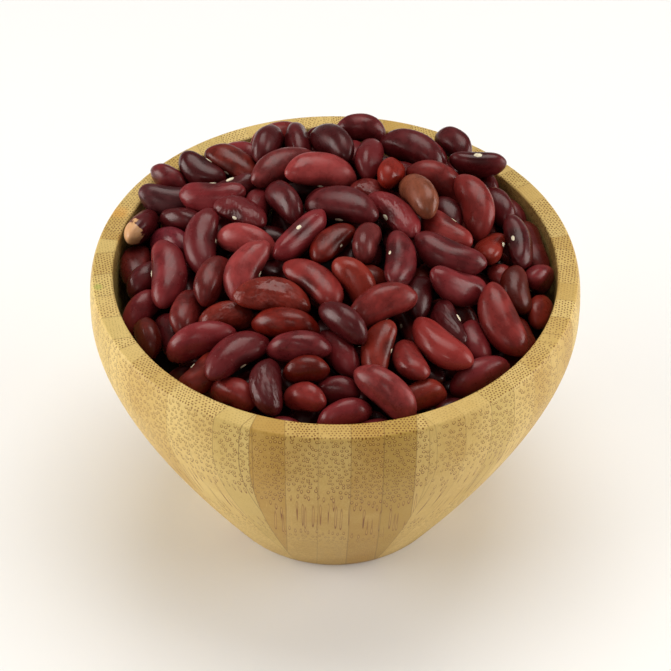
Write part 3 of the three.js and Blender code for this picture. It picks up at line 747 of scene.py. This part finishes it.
def quad_ball(cuts):
    """A cube with its faces cut into squares, blown up to a ball of even faces."""
    ball = bmesh.new()
    bmesh.ops.create_cube(ball, size=2)
    bmesh.ops.subdivide_edges(ball, edges=ball.edges[:], cuts=cuts, use_grid_fill=True)
    for vert in ball.verts:
        vert.co = Vector([math.tan(part * math.pi / 4) for part in vert.co]).normalized()
    mesh = bpy.data.meshes.new("ball")
    ball.to_mesh(mesh)
    ball.free()
    return mesh


def cage_matrix(mesh):
    """Turns points that the smooth surface should pass through into the points of its cage."""
    ball = bmesh.new()
    ball.from_mesh(mesh)
    limit = np.zeros((len(ball.verts), len(ball.verts)))
    for vert in ball.verts:
        count = len(vert.link_faces)
        beside = {edge.other_vert(vert).index for edge in vert.link_edges}
        corners = {corner.index for face in vert.link_faces for corner in face.verts}
        limit[vert.index, vert.index] = count * count
        for index in beside:
            limit[vert.index, index] = 4
        for index in corners - beside - {vert.index}:
            limit[vert.index, index] = 1
        limit[vert.index] /= count * (count + 5)
    ball.free()
    return np.linalg.inv(limit)


def joined(mesh, sets):
    """One bmesh with a copy of the mesh for each set of places of its points, in metres."""
    shape = bmesh.new()
    for places in sets:
        start = len(shape.verts)
        shape.from_mesh(mesh)
        shape.verts.ensure_lookup_table()
        for vert, place in zip(shape.verts[start:], places):
            vert.co = place
    bmesh.ops.recalc_face_normals(shape, faces=shape.faces[:])
    return shape


def bean_place(bean, u, side, face):
    """Points of a bean in millimetres: share of the half length, and offsets in its own frame."""
    length = bean["length"]
    bow = BOW_PER_LENGTH * length * (u * u - BOW_REST)
    flat = np.cross(bean["along"], bean["across"])
    lift = np.array([0, 0, BOWL_HIGH.z / MM])
    return (bean["centre"] + lift + np.outer(u * length / 2, bean["along"])
            + np.outer(side + bow, bean["across"]) + np.outer(face, flat))


def bean_points(bean, directions, draw, unevenness):
    """The bean's skin in the directions of a ball's points, and their places within the bean."""
    u = np.clip(directions[:, 0] * END_STRETCH, -1, 1)
    round_part = np.hypot(directions[:, 1], directions[:, 2])
    girth = np.sqrt(1 - np.abs(u) ** BLUNTNESS) / round_part
    width = bean_width(bean["length"])
    taper, dip = draw(-TAPER, TAPER), draw(*DIP)
    offset = Vector((draw(0, 50), draw(0, 50), draw(0, 50)))
    hollow = np.array([[0, 1, 0]])
    stray = np.array([noise.noise(Vector(d) * LUMPINESS + offset) for d in (*directions, *hollow)])
    stray *= unevenness * 2
    bean["hollow"] = width / 2 + stray[-1] - dip
    stray = stray[:-1]
    girth = girth * (1 + taper * u)
    side = girth * directions[:, 1]
    face = girth * directions[:, 2]
    side_mm = side * (width / 2 + stray) - dip * np.exp(-((u / DIP_REACH) ** 2)) * np.maximum(side, 0)
    face_mm = face * (width * THICKNESS_PER_WIDTH / 2 + stray)
    return bean_place(bean, u, side_mm, face_mm), np.stack([u, side, face], 1)


def add_attribute(mesh, name, kind, values):
    """A value or a vector for each point."""
    field = "vector" if kind == "FLOAT_VECTOR" else "value"
    mesh.attributes.new(name, kind, "POINT").data.foreach_set(field, np.ravel(values).astype(np.float32))


# ---- Heap: finishes ----


def skin_material(kind, flesh):
    """Dried kidney bean skin: a thin, hard, glossy coat. It has a soft sheen and broad highlights, is
    faintly mottled and veined along its length, and darkens round the hilum."""
    nodes = Nodes("bean_skin_" + kind)
    base = linear(SKINS[kind])
    place = nodes.add("Attribute", {"attribute_name": "place"}).outputs["Vector"]
    shade = nodes.add("Attribute", {"attribute_name": "shade"}).outputs["Fac"]
    wrinkled = nodes.add("Attribute", {"attribute_name": "wrinkle"}).outputs["Fac"]
    u, side, face = nodes.split(place)
    metres = nodes.add("TexCoord").outputs["Object"]
    mottle = nodes.noise(metres, 0.25 / MM, 3.0, 0.55)
    # Veins run along the bean, about a millimetre apart.
    along = nodes.join(nodes.math("MULTIPLY", u, 0.9), side, face)
    shifted = nodes.add("VectorMath", {"operation": "MULTIPLY_ADD"}, i0=metres, i1=(90, 90, 90), i2=along)
    veins = nodes.noise(shifted.outputs[0], 4.5, 3.0, 0.6)
    # Each bean's shade attribute holds its own tone at random, lowered by painted shade on the beans deep in
    # the heap.
    tone = nodes.math("MULTIPLY_ADD", nodes.math("SUBTRACT", mottle, 0.5), 1.3, shade)
    tone = nodes.math("MULTIPLY_ADD", nodes.math("SUBTRACT", veins, 0.5), 0.7, tone)
    deep = [part * DEEP for part in base]
    pale = [part * PALE for part in base]
    colour = nodes.mix(nodes.smooth(tone, -0.1, 1.1), rgba(deep), rgba(pale))
    across = nodes.math("SUBTRACT", 1.0, side)
    near = nodes.math("ADD", nodes.math("POWER", nodes.math("ABSOLUTE", u), 2.0),
                      nodes.math("POWER", across, 2.0))
    colour = nodes.mix(nodes.smooth(near, 0.0, 0.22, 0.7, 0), colour, rgba([part * SCARRED for part in base]))
    if kind == "peeled":
        torn = nodes.math("MULTIPLY_ADD", nodes.math("SUBTRACT", mottle, 0.5), 0.7, u)
        bare = nodes.smooth(torn, 0.66, 0.69)
        blush = nodes.mix(nodes.smooth(veins, 0.4, 0.65, 0, 0.6), rgba(flesh), rgba(linear(BLUSH)))
        colour = nodes.mix(bare, colour, blush)
    scuffs = nodes.noise(shifted.outputs[0], 11.0, 2.0, 0.5)
    scuff = nodes.math("MULTIPLY", nodes.smooth(scuffs, 0.71, 0.76), nodes.math("GREATER_THAN", shade, 0.7))
    colour = nodes.mix(nodes.math("MULTIPLY", scuff, 0.35), colour, rgba(linear(SCUFF)))
    ridges = nodes.noise(shifted.outputs[0], 2.2, 2.0, 0.5)
    dents = nodes.math("MULTIPLY", ridges, nodes.math("MULTIPLY_ADD", wrinkled, 12.0, 2.5))
    relief = nodes.math("ADD", dents, veins)
    bump = nodes.add("Bump", Strength=0.5, Distance=0.06 * MM, Height=relief).outputs[0]
    rough = nodes.smooth(mottle, 0.3, 0.7, 0.23, 0.37)
    return nodes.finish(
        Base_Color=colour, Roughness=rough, IOR=1.4, Specular_Tint=SKIN_SHINE, Normal=bump,
    )


def hilum_material(colour):
    """The hilum: a dry, chalky scar, matt and cream with faint specks."""
    nodes = Nodes("chalky_hilum")
    specks = nodes.noise(nodes.add("TexCoord").outputs["Object"], 1.6 / MM, 3.0)
    tint = nodes.mix(nodes.smooth(specks, 0.35, 0.7, 0, 0.5), rgba(colour), rgba(linear(SPECK)))
    return nodes.finish(Base_Color=tint, Roughness=0.7)


def bed_shade_material():
    """Painted shade: the beans deep in the heap, out of the light, drawn as one dark, dull red-brown that
    shows between the others.
    """
    nodes = Nodes("deep_beans_painted_shade")
    lumps = nodes.noise(nodes.add("TexCoord").outputs["Object"], 0.12 / MM, 1.0)
    tint = nodes.mix(nodes.smooth(lumps, 0.4, 0.6), rgba(linear(BED_SHADE_DARK)), rgba(linear(BED_SHADE_RED)))
    return nodes.finish(Base_Color=tint, Roughness=0.8)


class BEANS_OT_make_beans(bpy.types.Operator):
    """Pour the beans, one piece for each kind of skin, with their hila"""

    bl_idname = "beans.make_beans"
    bl_label = "Beans"
    bl_options = {"REGISTER", "UNDO"}

    def execute(self, context):
        settings = context.scene.bean_heap
        beans = lay_beans(context)
        draw = make_draw(settings.seed)
        ball = quad_ball(BEAN_CUTS)
        directions = np.array([vert.co for vert in ball.vertices])
        cage = cage_matrix(ball)
        made = {kind: [] for kind in SKINS}
        for bean in beans:
            skin, place = bean_points(bean, directions, draw, settings.unevenness / MM)
            # Painted shade: the beans deep in the heap get darker skins than their own tone.
            shade = draw(0, 1) - (FILLER_PAINTED_SHADE if bean["hold"] == FILLER_HOLD else 0)
            made[bean["kind"]].append((cage @ skin * MM, place, shade, bean["wrinkled"]))
        for kind, parts in made.items():
            piece = make_object("beans_" + kind, joined(ball, [part[0] for part in parts]))
            add_attribute(piece.data, "place", "FLOAT_VECTOR", [part[1] for part in parts])
            for name, column in (("shade", 2), ("wrinkle", 3)):
                values = np.repeat([float(part[column]) for part in parts], len(directions))
                add_attribute(piece.data, name, "FLOAT", values)
            subdivide(piece, BEAN_LEVELS)
            piece.data.materials.append(skin_material(kind, settings.flesh))
            settle_on_frame(piece, "beans")
        self.make_hila(beans, settings)
        bpy.data.meshes.remove(ball)
        return {"FINISHED"}

    def make_hila(self, beans, settings):
        """A small oval on the hollow side of each bean, half sunk in the skin."""
        ball = quad_ball(HILUM_CUTS)
        directions = np.array([vert.co for vert in ball.vertices])
        cage = cage_matrix(ball)
        length, width, thickness = HILUM_SIZE
        sets = []
        for bean in beans:
            u = directions[:, 0] * length / bean["length"]
            side = bean["hollow"] - HILUM_SINK + directions[:, 1] * thickness / 2
            sets.append(cage @ bean_place(bean, u, side, directions[:, 2] * width / 2) * MM)
        hila = make_object("hila", joined(ball, sets))
        subdivide(hila, HILUM_LEVELS)
        hila.data.materials.append(hilum_material(settings.hilum))
        settle_on_frame(hila, "beans")
        bpy.data.meshes.remove(ball)


class BEANS_OT_make_bed(bpy.types.Operator):
    """Fill the bowl under the loose beans with one bed in dark painted shade"""

    bl_idname = "beans.make_bed"
    bl_label = "Bed"
    bl_options = {"REGISTER", "UNDO"}

    def execute(self, context):
        sizes = context.scene.bean_bowl
        top = sizes.height / MM
        side = [(max(radius - CLEARANCE, 0), height + CLEARANCE)
                for radius, height in hollow_profile(sizes) if height < top - 2 * BED_DROP]
        shape = spin_profile([*reversed(side), (0, top)], RING_STEPS // 2)
        for vert in shape.verts:
            x, y, height = vert.co / MM
            if height > top - 1:
                vert.co.z = (top + dome_height(x, y) - BED_DROP) * MM
        bed = make_object("deep_bed", shape)
        bed.data.materials.append(bed_shade_material())
        settle_on_frame(bed, "beans")
        return {"FINISHED"}


# ---- Stage ----


def aim(thing, target):
    """Turns a lamp or camera so that it looks at the target, upright."""
    thing.rotation_euler = (target - thing.location).to_track_quat("-Z", "Y").to_euler()


def make_camera():
    data = bpy.data.cameras.new("camera")
    data.lens = CAMERA_LENS
    camera = bpy.data.objects.new("camera", data)
    bpy.context.collection.objects.link(camera)
    height = math.radians(CAMERA_ELEVATION)
    back = Vector((0, -math.cos(height), math.sin(height)))
    camera.location = CAMERA_AIM + back * CAMERA_DISTANCE
    turn = Matrix.Rotation(math.radians(CAMERA_ROLL), 4, back)
    camera.rotation_euler = (turn @ (-back).to_track_quat("-Z", "Y").to_matrix().to_4x4()).to_euler()
    bpy.context.scene.camera = camera


def make_softboxes(strength):
    for name, (place, size, watts) in SOFTBOXES.items():
        data = bpy.data.lights.new(name, "AREA")
        data.size = size
        data.energy = watts * strength
        lamp = bpy.data.objects.new(name, data)
        bpy.context.collection.objects.link(lamp)
        lamp.location = place
        aim(lamp, Vector((0, 0, BOWL_HIGH.z)))


class BEANS_OT_make_stage(bpy.types.Operator):
    """Lay the floor and set up the lights and the camera"""

    bl_idname = "beans.make_stage"
    bl_label = "Stage"
    bl_options = {"REGISTER", "UNDO"}

    def execute(self, context):
        settings = context.scene.bean_stage
        shape = bmesh.new()
        bmesh.ops.create_circle(shape, cap_ends=True, segments=FLOOR_SIDES, radius=FLOOR_RADIUS)
        floor = make_object("floor", shape, smooth=False)
        nodes = Nodes("matt_paper")
        floor.data.materials.append(nodes.finish(Base_Color=rgba(settings.floor), Roughness=0.9))
        world = bpy.data.worlds.new("studio")
        world.use_nodes = True
        world.node_tree.nodes["Background"].inputs["Color"].default_value = (1, 1, 1, 1)
        world.node_tree.nodes["Background"].inputs["Strength"].default_value = settings.glow
        context.scene.world = world
        context.scene.view_settings.view_transform = "Standard"
        make_softboxes(settings.light)
        make_camera()
        return {"FINISHED"}


class BEANS_PT_panel(bpy.types.Panel):
    """Settings of the bowl of beans, and a button for each piece"""

    bl_label = "Bowl of beans"
    bl_idname = "BEANS_PT_panel"
    bl_space_type = "VIEW_3D"
    bl_region_type = "UI"
    bl_category = "Beans"

    def draw(self, context):
        for settings, operators in GROUPS.values():
            group = getattr(context.scene, settings)
            for name in type(group).__annotations__:
                self.layout.prop(group, name)
            for operator in operators:
                self.layout.operator(operator)


# For each part of the scene: its settings on the scene, and the operators that make its pieces.
GROUPS = {
    BowlSettings: ("bean_bowl", ["beans.make_bowl"]),
    BeanSettings: ("bean_heap", ["beans.make_beans", "beans.make_bed"]),
    StageSettings: ("bean_stage", ["beans.make_stage"]),
}
OPERATORS = (BEANS_OT_make_bowl, BEANS_OT_make_beans, BEANS_OT_make_bed, BEANS_OT_make_stage)
CLASSES = (*GROUPS, *OPERATORS, BEANS_PT_panel)


def register():
    for cls in CLASSES:
        bpy.utils.register_class(cls)
    for cls, (name, _) in GROUPS.items():
        setattr(bpy.types.Scene, name, PointerProperty(type=cls))


def unregister():
    for name, _ in GROUPS.values():
        delattr(bpy.types.Scene, name)
    for cls in reversed(CLASSES):
        bpy.utils.unregister_class(cls)


def main():
    register()
    bpy.ops.beans.make_bowl()
    bpy.ops.beans.make_beans()
    bpy.ops.beans.make_bed()
    bpy.ops.beans.make_stage()


if __name__ == "__main__":
    main()
